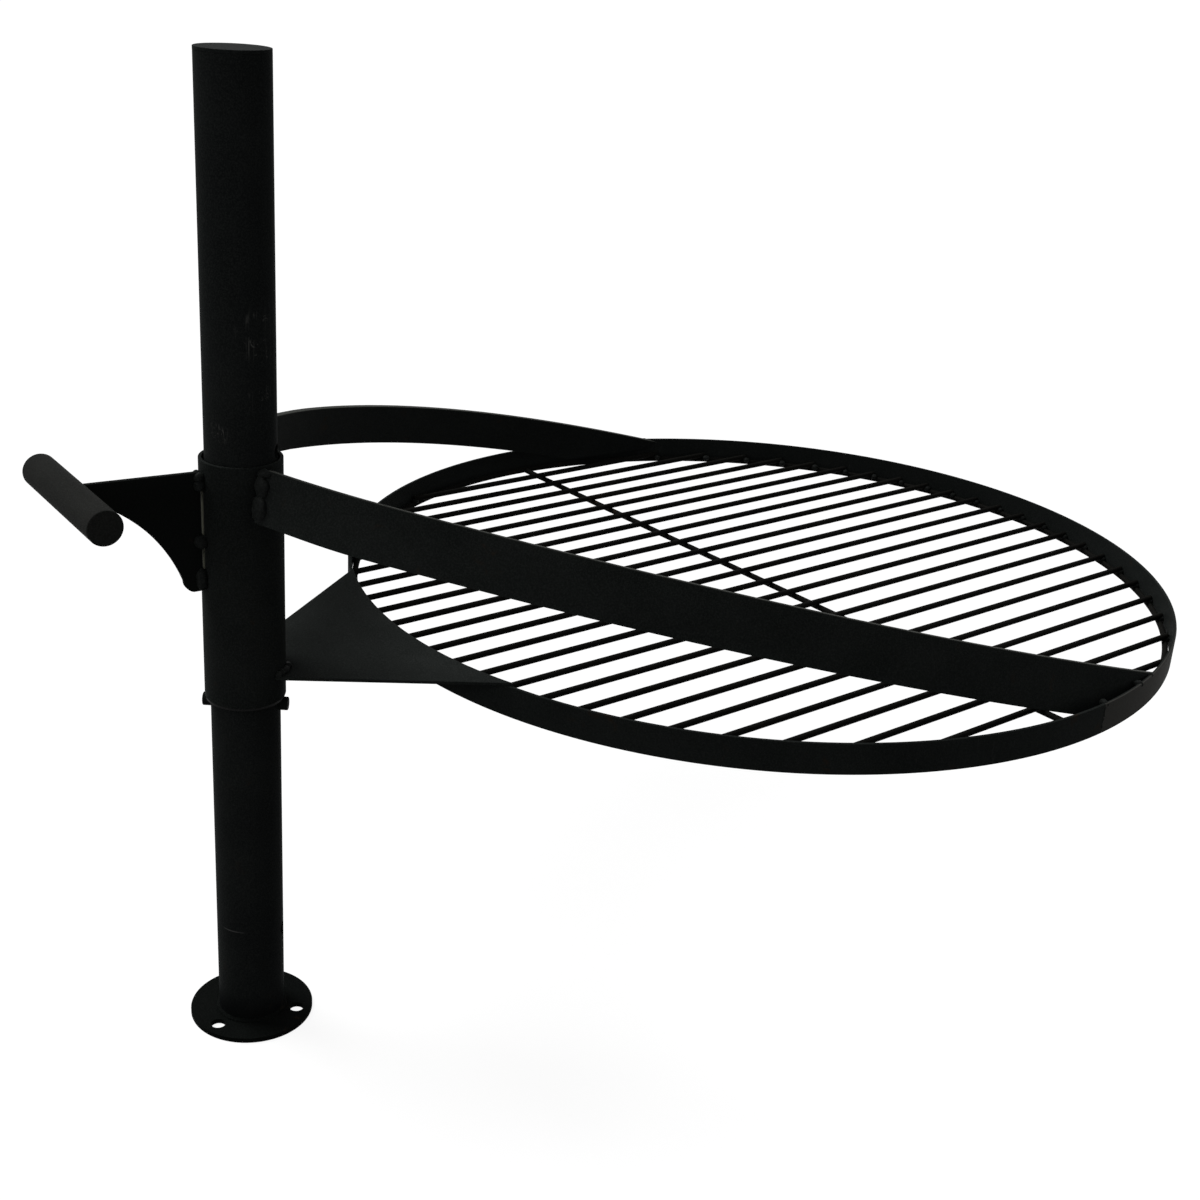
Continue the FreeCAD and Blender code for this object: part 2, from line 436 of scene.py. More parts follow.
@dataclass(frozen=True)
class Paint:
    """Satin black paint on steel, with a sandy grain, thin patches, hairlines and brown scuffs."""

    finish: Finish
    slot: Slot
    shade: Colour = (0.0069, 0.0080, 0.0075)
    worn: Colour = (0.0194, 0.0214, 0.0204)
    rust: Colour = (0.026, 0.017, 0.011)
    bare: Colour = (0.05, 0.05, 0.05)
    roughness: float = 0.55
    gloss: float = 0.003
    grain: float = 1.2 * MM
    grain_detail: float = 2.0
    grain_depth: float = 0.06 * MM
    grain_strength: float = 0.55
    cloud: Mottle = Mottle(13.0, 5.0)
    patch: Mottle = Mottle(7.0, 2.0, 0.4)
    flake: Mottle = Mottle(55.0, 6.0, 0.7)
    lines: Mottle = Mottle(1.0, 3.0)
    stretch: Triple = (110.0, 110.0, 5.0)
    scuffed: float = 0.5
    hairline: float = 0.25
    wear: Wear = Wear()
    rubbed: Optional[RubbedLine] = None
    marks: tuple[Mark, ...] = ()

    def material(self) -> bpy.types.Material:
        """Build the paint as nodes on object coordinates.

        Returns:
            The material, named for the finish.
        """
        found = bpy.data.materials.new(self.finish.value)
        tree = ShaderTree(found)
        place = tree.place()
        look = self._textures(tree, place)
        wear = self.wear
        hairs = 1.0 - look.lines.band(*wear.hairline)
        scratch = hairs * look.patch.band(*wear.hairline_patch) * self.hairline
        scuff = look.flake.band(*wear.scuff_flake) * look.cloud.band(*wear.scuff_cloud) * self.scuffed
        if self.rubbed is not None:
            scratch = scratch + self.rubbed.mask(place, look)
        colour = tree.tint(scuff, self._coat(tree, place, look), self.rust)
        colour = tree.tint(scratch, colour, self.bare)
        uneven = (look.cloud - NOISE_MIDDLE) * wear.rough_cloud
        rough = self.roughness + uneven + scuff * wear.rough_scuff
        bump = tree.add("Bump", None, {"Strength": self.grain_strength, "Distance": self.grain_depth,
                                       "Height": look.sand + look.cloud * wear.bump_cloud})
        shader = tree.add("BsdfPrincipled", None, {"Base Color": colour, "Roughness": rough, "Normal": bump,
                                                   "Specular IOR Level": self.gloss})
        tree.add("OutputMaterial", None, {"Surface": shader})
        return found

    def _textures(self, tree: ShaderTree, place: Place) -> Textures:
        """Make the noise that the paint is mixed from.

        Args:
            tree: nodes of the material.
            place: object coordinates.

        Returns:
            Fine sand, wide clouds, patches, flakes, and distance from thin lines along the piece.
        """
        drawn = tree.add("Mapping", None, {"Vector": place.whole, "Scale": self.stretch})
        return Textures(sand=tree.mottle(place.whole, Mottle(1.0 / self.grain, self.grain_detail)),
                        cloud=tree.mottle(place.whole, self.cloud),
                        patch=tree.mottle(place.whole, self.patch),
                        flake=tree.mottle(place.whole, self.flake),
                        lines=abs(tree.mottle(drawn, self.lines) - NOISE_MIDDLE))

    def _coat(self, tree: ShaderTree, place: Place, look: Textures) -> Sock:
        """Mix the coat of paint, with the marks on it.

        Args:
            tree: nodes of the material.
            place: object coordinates.
            look: noise of the paint.

        Returns:
            Colour of the coat, before scuffs and hairlines.
        """
        wear = self.wear
        clouds = look.cloud.band(*wear.thin_cloud) * wear.cloud_share
        thin = clouds + look.sand.band(*wear.thin_sand) * (1.0 - wear.cloud_share)
        colour = tree.tint(thin, self.shade, self.worn)
        for mark in self.marks:
            colour = tree.tint(mark.mask(place, look), colour, mark.colour)
        return colour


class Palette:
    """The finishes, each made once."""

    def __init__(self) -> None:
        """Make every finish of the grill."""
        weld = Paint(Finish.WELD, Slot.FRAME, shade=(0.0066, 0.0074, 0.0070), worn=(0.0165, 0.0178, 0.0170),
                     roughness=0.45, gloss=0.012, grain=1.6 * MM, grain_depth=0.2 * MM)
        # The post's marks: painted shade at its foot, and three scrapes.
        post_marks = (PaintedFootShade(top=55 * MM), Scrape(spot=(11.0, -28.0, 658.0), reach=30.0),
                      Scrape(spot=(8.0, -29.0, 604.0), reach=17.0),
                      Scrape(spot=(-26.0, -15.0, 575.0), reach=12.0))
        kinds = (
            Paint(Finish.POST, Slot.POST, shade=(0.0070, 0.0079, 0.0080), hairline=0.35,
                  rubbed=RubbedLine(102 * MM), marks=post_marks),
            # Flange and foot weld: the same black paint made darker, as painted shade.
            Paint(Finish.FOOT, Slot.POST, shade=(0.0023, 0.0028, 0.0026), worn=(0.0076, 0.0086, 0.0080)),
            Paint(Finish.FRAME, Slot.FRAME),
            # Web plate: the same black paint made lighter, as painted light that lifts the shadow near the
            # sleeve.
            Paint(Finish.PLATE, Slot.FRAME, shade=(0.0084, 0.0096, 0.0090), worn=(0.0220, 0.0242, 0.0232)),
            # Painted highlight along the arms' upper edges.
            Paint(Finish.ARM, Slot.FRAME, marks=(PaintedHighlightEdges(fall=0.2962, tilt=0.072, level=547.3 * MM),)),
            # Painted streak of light on the sleeve, behind the gusset's slit.
            Paint(Finish.SLEEVE, Slot.FRAME, marks=(PaintedLightStreak(low=446 * MM, high=530 * MM),)),
            # Painted light on the ring's outside, beside the closing seam.
            Paint(Finish.RING, Slot.FRAME, shade=(0.0082, 0.0094, 0.0090),
                  marks=(PaintedLightStretch(start=631 * MM),)),
            # Gusset: the same black paint made darker, as painted shade.
            Paint(Finish.GUSSET, Slot.HANDLE, shade=(0.0045, 0.0052, 0.0048), worn=(0.0100, 0.0108, 0.0100)),
            Paint(Finish.HANDLE, Slot.HANDLE, shade=(0.0108, 0.0112, 0.0105), worn=(0.0236, 0.0242, 0.0228),
                  scuffed=0.3, grain=1.0 * MM, stretch=(110.0, 5.0, 110.0)),
            Paint(Finish.GRATE, Slot.GRATE, shade=(0.0045, 0.0044, 0.0040), worn=(0.0125, 0.0122, 0.0112),
                  scuffed=0.9, stretch=(5.0, 110.0, 110.0)),
            Paint(Finish.PIN, Slot.PIN, scuffed=0.9, hairline=0.5),
            weld,
            replace(weld, finish=Finish.HANDLE_WELD, slot=Slot.HANDLE),
            replace(weld, finish=Finish.GRATE_WELD, slot=Slot.GRATE),
            Paint(Finish.WASHER, Slot.WASHER, shade=(0.008, 0.008, 0.008), worn=(0.02, 0.02, 0.02),
                  roughness=0.42, gloss=0.03),
        )
        self.slots = {paint.finish: paint.slot for paint in kinds}
        self.made = {paint.finish: paint.material() for paint in kinds}

    def dress(self, piece: bpy.types.Object, finish: Finish) -> None:
        """Give a new piece its finish."""
        piece.data.materials.append(self.made[finish])

    def repaint(self, node: bpy.types.Object, finish: Finish) -> None:
        """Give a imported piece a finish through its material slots.

        Args:
            node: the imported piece.
            finish: what it is painted with.
        """
        for slot in node.material_slots:
            slot.material = self.made[finish]
        LOG.info("painted %s", node.name)


@dataclass(frozen=True)
class Bead:
    """How a weld bead is laid.

    The ripple, the blunt end and the swell at each point from there are shares of the radius. The lumps
    are given by their height and size.
    """

    radius: float
    points: int
    ripple: float
    lumps: Pair
    blunt_end: float = 0.45
    swell: float = 0.4
    sides: int = 12


class Mesh:
    """One bmesh in the making, and the operators that the pieces share."""

    def __init__(self) -> None:
        """Start empty."""
        self.bm = bmesh.new()

    def revolve(self, corners: Sequence[Pair], rounding: float, steps: int) -> "Mesh":
        """Turn an outline round the Z axis.

        Args:
            corners: radius and height of each corner, the way round.
            rounding: radius on every corner off the axis.
            steps: segments of the full turn.

        Returns:
            This mesh.
        """
        bm = self.bm
        marks = [bm.verts.new((r, 0.0, z)) for r, z in corners]
        bm.faces.new(marks)
        off_axis = [v for v in marks if v.co.x > SAME_POINT]
        bmesh.ops.bevel(bm, geom=off_axis, offset=rounding, offset_type="OFFSET", segments=3, profile=0.5,
                        affect="VERTICES", material=-1)
        bmesh.ops.delete(bm, geom=bm.faces[:], context="FACES_ONLY")
        inner = [e for e in bm.edges if all(v.co.x < SAME_POINT for v in e.verts)]
        bmesh.ops.delete(bm, geom=inner, context="EDGES")
        bmesh.ops.spin(bm, geom=bm.verts[:] + bm.edges[:], cent=(0, 0, 0), axis=(0, 0, 1), dvec=(0, 0, 0),
                       angle=WHOLE_TURN, steps=steps, use_merge=True)
        bmesh.ops.remove_doubles(bm, verts=bm.verts[:], dist=SAME_POINT)
        bmesh.ops.recalc_face_normals(bm, faces=bm.faces[:])
        return self

    def tube(self, radii: Pair, levels: Pair, rounding: float, steps: int) -> "Mesh":
        """Turn a tube with eased rims, or a rod where the inner radius is 0."""
        corners = [(radii[i], levels[j]) for i, j in ((0, 0), (1, 0), (1, 1), (0, 1))]
        return self.revolve(corners, rounding, steps)

    def soften(self, node: bpy.types.Object, width: float, crease: float = 0.6) -> "Mesh":
        """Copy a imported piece, merge it and round its hard edges.

        Args:
            node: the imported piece.
            width: width of the rounding.
            crease: least angle between two faces of a hard edge, in radians.

        Returns:
            This mesh.
        """
        bm = self.bm
        bm.from_mesh(node.data)
        bmesh.ops.remove_doubles(bm, verts=bm.verts[:], dist=LOOSE_POINT)
        bmesh.ops.dissolve_limit(bm, angle_limit=FLAT_ANGLE, verts=bm.verts[:], edges=bm.edges[:])
        hard = [e for e in bm.edges if e.is_manifold and e.calc_face_angle() > crease]
        bmesh.ops.bevel(bm, geom=hard, offset=width, offset_type="OFFSET", segments=2, profile=0.5,
                        affect="EDGES", clamp_overlap=True, material=-1)
        return self

    def twist(self, start: Vector, ahead: Vector, upright: Vector, push: Vector, length: float) -> "Mesh":
        """Stand a leaning bar upright at its root, fading out along it.

        Args:
            start: top of the root.
            ahead: direction of the bar there.
            upright: direction of its height there.
            push: move of a point, per metre below the top edge.
            length: stretch over which the twist fades out.

        Returns:
            This mesh.
        """
        for vert in self.bm.verts:
            away = vert.co - start
            share = min(1.0, max(0.0, 1.0 - away.dot(ahead) / length))
            vert.co += push * (-away.dot(upright)) * share * share * (3.0 - 2.0 * share)
        return self

    def trim(self, point: Vector, ahead: Vector) -> "Mesh":
        """Saw off what lies behind a plane and close the cut.

        Args:
            point: a point of the plane.
            ahead: direction from the plane to the side that stays.

        Returns:
            This mesh.
        """
        bm = self.bm
        cut = bmesh.ops.bisect_plane(bm, geom=bm.verts[:] + bm.edges[:] + bm.faces[:], plane_co=point,
                                     plane_no=ahead, dist=SAME_POINT, clear_inner=True)["geom_cut"]
        bmesh.ops.holes_fill(bm, edges=[g for g in cut if isinstance(g, bmesh.types.BMEdge)])
        return self

    def bead(self, path: Sequence[Vector], style: Bead) -> "Mesh":
        """Sweep a weld bead along a path, with a ripple at each step and blunt ends.

        Args:
            path: points along the middle of the bead.
            style: how the bead is laid.

        Returns:
            This mesh.
        """
        bm = self.bm
        last = len(path) - 1
        ring = bmesh.ops.create_circle(bm, cap_ends=True, radius=1.0, segments=style.sides)["verts"]
        face = ring[0].link_faces[0]
        before = Matrix.Identity(4)
        for i, point in enumerate(path):
            ahead = path[min(i + 1, last)] - path[max(i - 1, 0)]
            turn = ahead.to_track_quat("Z", "X").to_matrix().to_4x4()
            blunt = min(1.0, style.blunt_end + style.swell * min(i, last - i))
            wide = style.radius * blunt * (1.0 + (style.ripple if i % 2 else -style.ripple))
            here = Matrix.Translation(point) @ turn @ Matrix.Scale(wide, 4)
            if i:
                grown = bmesh.ops.extrude_face_region(bm, geom=[face])["geom"]
                inner, face = face, next(g for g in grown if isinstance(g, bmesh.types.BMFace))
                if i > 1:
                    bmesh.ops.delete(bm, geom=[inner], context="FACES_ONLY")
            bmesh.ops.transform(bm, matrix=here @ before.inverted(), verts=face.verts[:])
            before = here
        return self.lump(*style.lumps)

    def drop(self, centre: Vector, radii: Vector, ahead: Vector = Vector((1, 0, 0)),
             fine: int = 3) -> "Mesh":
        """Add one oval drop of weld.

        Args:
            centre: middle of the drop.
            radii: radii ahead, sideways and up.
            ahead: direction of the first radius.
            fine: rounds of subdivision.

        Returns:
            This mesh.
        """
        turn = ahead.to_track_quat("X", "Z").to_matrix().to_4x4()
        place = Matrix.Translation(centre) @ turn @ Matrix.Diagonal((*radii, 1.0))
        bmesh.ops.create_icosphere(self.bm, subdivisions=fine, radius=1.0, matrix=place)
        return self

    def lump(self, height: float, size: float) -> "Mesh":
        """Push the surface in and out by noise, as on hand-laid weld.

        Args:
            height: greatest push.
            size: size of the lumps.

        Returns:
            This mesh.
        """
        bmesh.ops.recalc_face_normals(self.bm, faces=self.bm.faces[:])
        self.bm.normal_update()
        for vert in self.bm.verts:
            vert.co += vert.normal * height * noise.noise(vert.co / size)
        return self

    def move(self, matrix: Matrix) -> "Mesh":
        """Move the whole mesh."""
        bmesh.ops.transform(self.bm, matrix=matrix, verts=self.bm.verts[:])
        return self

    def piece(self, name: str, body: Body, smooth: float = 0.7) -> bpy.types.Object:
        """Finish the mesh as an object on a body.

        Args:
            name: name of the piece.
            body: body that it rides on.
            smooth: edges sharper than this, in radians, stay crisp.

        Returns:
            The object, at the origin.
        """
        data = bpy.data.meshes.new(name)
        self.bm.to_mesh(data)
        self.bm.free()
        data.shade_smooth()
        data.set_sharp_from_angle(angle=smooth)
        made = bpy.data.objects.new(name, data)
        bpy.context.scene.collection.objects.link(made)
        made.modifiers.new("even_normals", "WEIGHTED_NORMAL").keep_sharp = True
        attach(made, body.value)
        LOG.info("made %s", name)
        return made


def upright_turn(angle: float, radius: float, level: float, centre: Vector = Vector()) -> Vector:
    """Point at a direction, distance and level round an upright axis."""
    return centre + Vector((radius * math.cos(angle), radius * math.sin(angle), level))


def spaced(start: float, end: float, count: int) -> list[float]:
    """Evenly spaced values, both ends included."""
    return [start + (end - start) * i / (count - 1) for i in range(count)]


@dataclass(frozen=True)
class WeldDrop:
    """Drop of weld: its place along the joint, and its thickness and height as radii in millimetres."""

    place: float
    thick: float
    tall: float


@dataclass
class Grill:
    """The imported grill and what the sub-assemblies share."""

    nodes: dict[str, bpy.types.Object]
    palette: Palette

    def box(self, node: str) -> Box:
        """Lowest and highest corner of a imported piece."""
        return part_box(node)

    def stand_in(self, mesh: Mesh, node: str, body: Body, finish: Finish) -> bpy.types.Object:
        """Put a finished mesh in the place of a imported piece.

        Args:
            mesh: the mesh, in its place.
            node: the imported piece.
            body: body that it rides on.
            finish: what it is painted with.

        Returns:
            The new piece.
        """
        made = mesh.piece(node + "_dressed", body)
        self.palette.dress(made, finish)
        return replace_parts(made, node)

    def added(self, mesh: Mesh, name: str, body: Body, finish: Finish) -> bpy.types.Object:
        """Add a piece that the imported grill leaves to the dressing.

        Args:
            mesh: the mesh, in its place.
            name: name of the piece.
            body: body that it rides on.
            finish: what it is painted with.

        Returns:
            The new piece.
        """
        made = mesh.piece(name, body)
        self.palette.dress(made, finish)
        return made


@dataclass
class Stand:
    """Base flange, post, cap and foot weld."""

    grill: Grill
    flange_edge: float = 0.6 * MM
    post_edge: float = 0.35 * MM
    cap_edge: float = 0.4 * MM
    weld_edge: float = 0.5 * MM
    weld_sink: float = 1.0 * MM
    weld_belly: Pair = (0.2, 0.45)
    weld_lip: float = 0.1
    weld_lumps: Pair = (0.5 * MM, 6.0 * MM)
    steps: int = 96

    def build(self) -> None:
        """Make the stand's pieces."""
        nodes = self.grill.nodes
        flange = Mesh().soften(nodes["base_flange"], self.flange_edge)
        self.grill.stand_in(flange, "base_flange", Body.BASE, Finish.FOOT)
        post = Mesh().soften(nodes["post"], self.post_edge)
        self.grill.stand_in(post, "post", Body.BASE, Finish.POST)
        self._cap()
        self._foot_weld()

    def _cap(self) -> None:
        """Closing plate with a rounded rim."""
        low, high = self.grill.box("post_cap")
        mesh = Mesh().tube((0.0, high.x), (low.z, high.z), self.cap_edge, self.steps)
        self.grill.stand_in(mesh, "post_cap", Body.BASE, Finish.POST)

    def _foot_weld(self) -> None:
        """Uneven fillet round the post foot, sunk a little into post and flange."""
        low, high = self.grill.box("foot_weld")
        leg = high.z - low.z
        root = high.x - leg
        inner, under = root - self.weld_sink, low.z - self.weld_sink
        belly = (high.x - self.weld_belly[0] * leg, low.z + self.weld_belly[1] * leg)
        lip = (root + self.weld_lip * leg, high.z)
        outline = ((inner, under), (high.x, under), belly, lip, (inner, high.z))
        mesh = Mesh().revolve(outline, self.weld_edge, 2 * self.steps).lump(*self.weld_lumps)
        self.grill.stand_in(mesh, "foot_weld", Body.BASE, Finish.FOOT)


@dataclass
class PinAndWasher:
    """Support pin through the post, and the washer that the sleeve turns on."""

    grill: Grill
    pin_radius: float = 6.0 * MM
    pin_length: float = 75.0 * MM
    pin_edge: float = 0.8 * MM
    pin_angle: float = math.radians(-36.0)
    steps: int = 40

    def build(self) -> None:
        """Make the pin and paint the washer."""
        low, high = self.grill.box("support_pin")
        half = self.pin_length / 2
        turn = Matrix.Rotation(self.pin_angle, 4, "Z") @ Matrix.Rotation(QUARTER_TURN, 4, "Y")
        mesh = Mesh().tube((0.0, self.pin_radius), (-half, half), self.pin_edge, self.steps)
        mesh.move(Matrix.Translation((low + high) / 2) @ turn)
        self.grill.stand_in(mesh, "support_pin", Body.PIN, Finish.PIN)
        self.grill.palette.repaint(self.grill.nodes["thrust_washer"], Finish.WASHER)


@dataclass
class SleeveAndHandle:
    """Sleeve, gusset plate, crossbar and the welds between sleeve and plate."""

    grill: Grill
    wall: float = 3.0 * MM
    rim_edge: float = 0.7 * MM
    bar_edge: float = 1.0 * MM
    gusset_edge: float = 0.5 * MM
    drop_ahead: float = 1.6 * MM
    drop_aside: float = 2.8 * MM
    drop_lumps: Pair = (0.8 * MM, 4.0 * MM)
    gusset_drops: tuple[tuple[str, tuple[WeldDrop, ...]], ...] = (
        ("gusset_weld_1", (WeldDrop(0.88, 4.6, 4.2), WeldDrop(0.36, 5.2, 5.0))),
        ("gusset_weld_2", (WeldDrop(0.45, 6.2, 6.0),)),
        ("gusset_weld_3", (WeldDrop(0.70, 4.6, 6.5), WeldDrop(0.30, 4.9, 6.5))),
    )
    steps: int = 96

    def build(self) -> None:
        """Make the sleeve and its handle."""
        self._sleeve()
        self._bar()
        gusset = Mesh().soften(self.grill.nodes["handle_gusset"], self.gusset_edge)
        self.grill.stand_in(gusset, "handle_gusset", Body.FRAME, Finish.GUSSET)
        for node, drops in self.gusset_drops:
            self._gusset_weld(node, drops)

    def _sleeve(self) -> None:
        """Tube with rounded rims."""
        low, high = self.grill.box("sleeve")
        mesh = Mesh().tube((high.x - self.wall, high.x), (low.z, high.z), self.rim_edge, self.steps)
        self.grill.stand_in(mesh, "sleeve", Body.FRAME, Finish.SLEEVE)

    def _bar(self) -> None:
        """Solid round crossbar with eased ends."""
        low, high = self.grill.box("handle_bar")
        radius, half = (high.z - low.z) / 2, (high.y - low.y) / 2
        mesh = Mesh().tube((0.0, radius), (-half, half), self.bar_edge, self.steps)
        mesh.move(Matrix.Translation((low + high) / 2) @ Matrix.Rotation(QUARTER_TURN, 4, "X"))
        self.grill.stand_in(mesh, "handle_bar", Body.FRAME, Finish.HANDLE)

    def _gusset_weld(self, node: str, drops: Sequence[WeldDrop]) -> None:
        """Drops of weld on both sides of the plate, across the slit beside the sleeve.

        Args:
            node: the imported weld.
            drops: the drops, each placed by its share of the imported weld's height.
        """
        low, high = self.grill.box(node)
        mesh = Mesh()
        for drop in drops:
            level = low.z + drop.place * (high.z - low.z)
            for side in (-1.0, 1.0):
                spot = Vector((low.x + self.drop_ahead, side * self.drop_aside, level))
                mesh.drop(spot, Vector((drop.thick, drop.thick, drop.tall)) * MM)
        mesh.lump(*self.drop_lumps)
        self.grill.stand_in(mesh, node, Body.FRAME, Finish.HANDLE_WELD)


@dataclass(frozen=True)
class ArmRoot:
    """How one arm turns upright next to the sleeve.

    The side is 1 for the arm at -Y and -1 for the other. The twist is a push per unit of height, and it
    fades out over the length.
    """

    node: str
    side: float
    twist: float
    length: float


@dataclass
class RingAndArms:
    """Flat-bar ring, web plate, the two bowed arms and their welds.

    Tack angles, root spans, seat middles and the seat's half span are in degrees. The arm's start and
    the tacks' radii are in millimetres.
    """

    grill: Grill
    ring_wall: float = 3.0 * MM
    bar_edge: float = 0.5 * MM
    steps: int = 240
    seam_bead: Bead = Bead(1.3 * MM, 15, 0.05, (0.3 * MM, 3.0 * MM))
    seam_angle: float = math.radians(-83.0)
    seam_wander: float = 0.002
    seam_margin: float = 1.5 * MM
    seam_depth: float = 0.9 * MM
    tack_angles: tuple[float, ...] = (-82.5, -73.8, -70.3)
    tack_inset: float = 3.94 * MM
    tack_below: float = 1.5 * MM
    tack_radii: Triple = (4.6, 2.8, 3.0)
    tack_lumps: Pair = (1.0 * MM, 4.0 * MM)
    arm_roots: tuple[ArmRoot, ...] = (ArmRoot("right_arm", 1.0, 0.21, 90 * MM),
                                      ArmRoot("left_arm", -1.0, 0.44, 220 * MM))
    arm_start: Triple = (4.5, -45.7, 549.3)
    arm_heading: Triple = (0.34, -0.94, -0.03)
    arm_upright: Triple = (0.27, 0.31, 0.91)
    arm_slant: float = 0.13
    arm_drops: tuple[WeldDrop, ...] = (WeldDrop(5.0, 5.0, 4.0), WeldDrop(18.0, 5.6, 11.5),
                                       WeldDrop(37.0, 6.0, 13.0))
    arm_drop_bite: float = 2.2 * MM
    arm_drop_lumps: Pair = (1.5 * MM, 5.0 * MM)
    plate_slope: float = 0.047
    plate_seat: float = 176 * MM
    root_bead: Bead = Bead(3.4 * MM, 13, 0.14, (1.3 * MM, 5.0 * MM))
    root_spans: tuple[tuple[str, float, float], ...] = (("near", -68.0, -22.0), ("far", 22.0, 60.0))
    root_out: float = 1.5 * MM
    root_rise: float = 0.6 * MM
    seat_bead: Bead = Bead(2.4 * MM, 9, 0.12, (0.8 * MM, 4.0 * MM))
    seat_middles: tuple[tuple[str, float], ...] = (("near", 166.0), ("far", -166.0), ("mid", 180.0))
    seat_half_span: float = 2.2
    seat_corner: float = 0.8 * MM
    centre: Vector = field(default_factory=Vector, init=False)
    outer: float = field(default=0.0, init=False)

    def build(self) -> None:
        """Make ring, plate, arms and welds."""
        low, high = self.grill.box("ring")
        self.centre = Vector(((low.x + high.x) / 2, 0.0, 0.0))
        self.outer = high.x - self.centre.x
        self._ring(low.z, high.z)
        self._plate()
        for root in self.arm_roots:
            self._arm(root)
            self._tacks(root, high.z)
        self._plate_root_welds()
        self._plate_seat_welds()

    def _ring(self, low: float, high: float) -> None:
        """Rolled flat bar with eased edges, and its closing seam.

        Args:
            low: level of the lower edge.
            high: level of the upper edge.
        """
        radii = (self.outer - self.ring_wall, self.outer)
        mesh = Mesh().tube(radii, (low, high), self.bar_edge, self.steps)
        mesh.move(Matrix.Translation(self.centre))
        self.grill.stand_in(mesh, "ring", Body.FRAME, Finish.RING)
        levels = spaced(low + self.seam_margin, high - self.seam_margin, self.seam_bead.points)
        turns = [self.seam_angle + self.seam_wander * math.sin(i) for i in range(len(levels))]
        path = [upright_turn(turn, self.outer - self.seam_depth, level, self.centre)
                for turn, level in zip(turns, levels)]
        self.grill.added(Mesh().bead(path, self.seam_bead), "ring_seam_weld", Body.FRAME, Finish.FRAME)

    def _plate(self) -> None:
        """Web plate on the ring's upper edge, falling a little towards the sleeve."""
        slope = Matrix.Identity(4)
        slope[2][0], slope[2][3] = self.plate_slope, -self.plate_slope * self.plate_seat
        mesh = Mesh().soften(self.grill.nodes["web_plate"], self.bar_edge).move(slope)
        self.grill.stand_in(mesh, "web_plate", Body.FRAME, Finish.PLATE)

    def _arm(self, root: ArmRoot) -> None:
        """One arm, sawn off short of the sleeve, with the drops of weld that fill the gap.

        Args:
            root: the arm and how it turns upright.
        """
        turned = Matrix.Diagonal((1.0, root.side, 1.0))
        start = turned @ Vector(self.arm_start) * MM
        ahead = (turned @ Vector(self.arm_heading)).normalized()
        upright = (turned @ Vector(self.arm_upright)).normalized()
        push = Vector((0.0, root.side * root.twist, 0.0))
        bar = Mesh().soften(self.grill.nodes[root.node], self.bar_edge)
        bar.trim(start, ahead + self.arm_slant * upright).twist(start, ahead, upright, push, root.length)
        self.grill.stand_in(bar, root.node, Body.FRAME, Finish.ARM)
        sleeve = self.grill.box("sleeve")[1].x
        down_the_end = push - upright + self.arm_slant * ahead
        weld = Mesh()
        for drop in self.arm_drops:
            spot = start + down_the_end * drop.place * MM
            out = Vector((spot.x, spot.y, 0.0))
            half_gap = (out.length - sleeve) / 2
            radii = Vector((half_gap + self.arm_drop_bite, drop.thick * MM, drop.tall * MM))
            weld.drop(spot - out.normalized() * half_gap, radii, out)
        weld.lump(*self.arm_drop_lumps)
        self.grill.added(weld, root.node + "_root_weld", Body.FRAME, Finish.WELD)

    def _tacks(self, root: ArmRoot, ring_top: float) -> None:
        """Tacks that hold the far end of an arm inside the ring.

        Args:
            root: the arm.
            ring_top: level of the ring's upper edge.
        """
        mesh = Mesh()
        for degrees in self.tack_angles:
            angle = root.side * math.radians(degrees)
            spot = upright_turn(angle, self.outer - self.tack_inset, ring_top - self.tack_below, self.centre)
            mesh.drop(spot, Vector(self.tack_radii) * MM, upright_turn(angle, 1.0, 0.0))
        mesh.lump(*self.tack_lumps)
        self.grill.added(mesh, root.node + "_tacks", Body.FRAME, Finish.WELD)

    def _plate_root_welds(self) -> None:
        """Beads along the plate's root on the sleeve."""
        sleeve = self.grill.box("sleeve")[1].x
        top = self.grill.box("web_plate")[1].z
        level = top - self.plate_slope * (self.plate_seat - sleeve) + self.root_rise
        for name, start, end in self.root_spans:
            turns = spaced(start, end, self.root_bead.points)
            path = [upright_turn(math.radians(turn), sleeve + self.root_out, level) for turn in turns]
            mesh = Mesh().bead(path, self.root_bead)
            self.grill.added(mesh, "plate_root_weld_" + name, Body.FRAME, Finish.WELD)

    def _plate_seat_welds(self) -> None:
        """Short beads under the plate, in the corner on the outside of the ring."""
        level = self.grill.box("web_plate")[0].z - self.seat_corner
        reach = self.outer + self.seat_corner
        for name, middle in self.seat_middles:
            turns = spaced(middle - self.seat_half_span, middle + self.seat_half_span, self.seat_bead.points)
            path = [upright_turn(math.radians(turn), reach, level, self.centre) for turn in turns]
            mesh = Mesh().bead(path, self.seat_bead)
            self.grill.added(mesh, "plate_ring_weld_" + name, Body.FRAME, Finish.WELD)


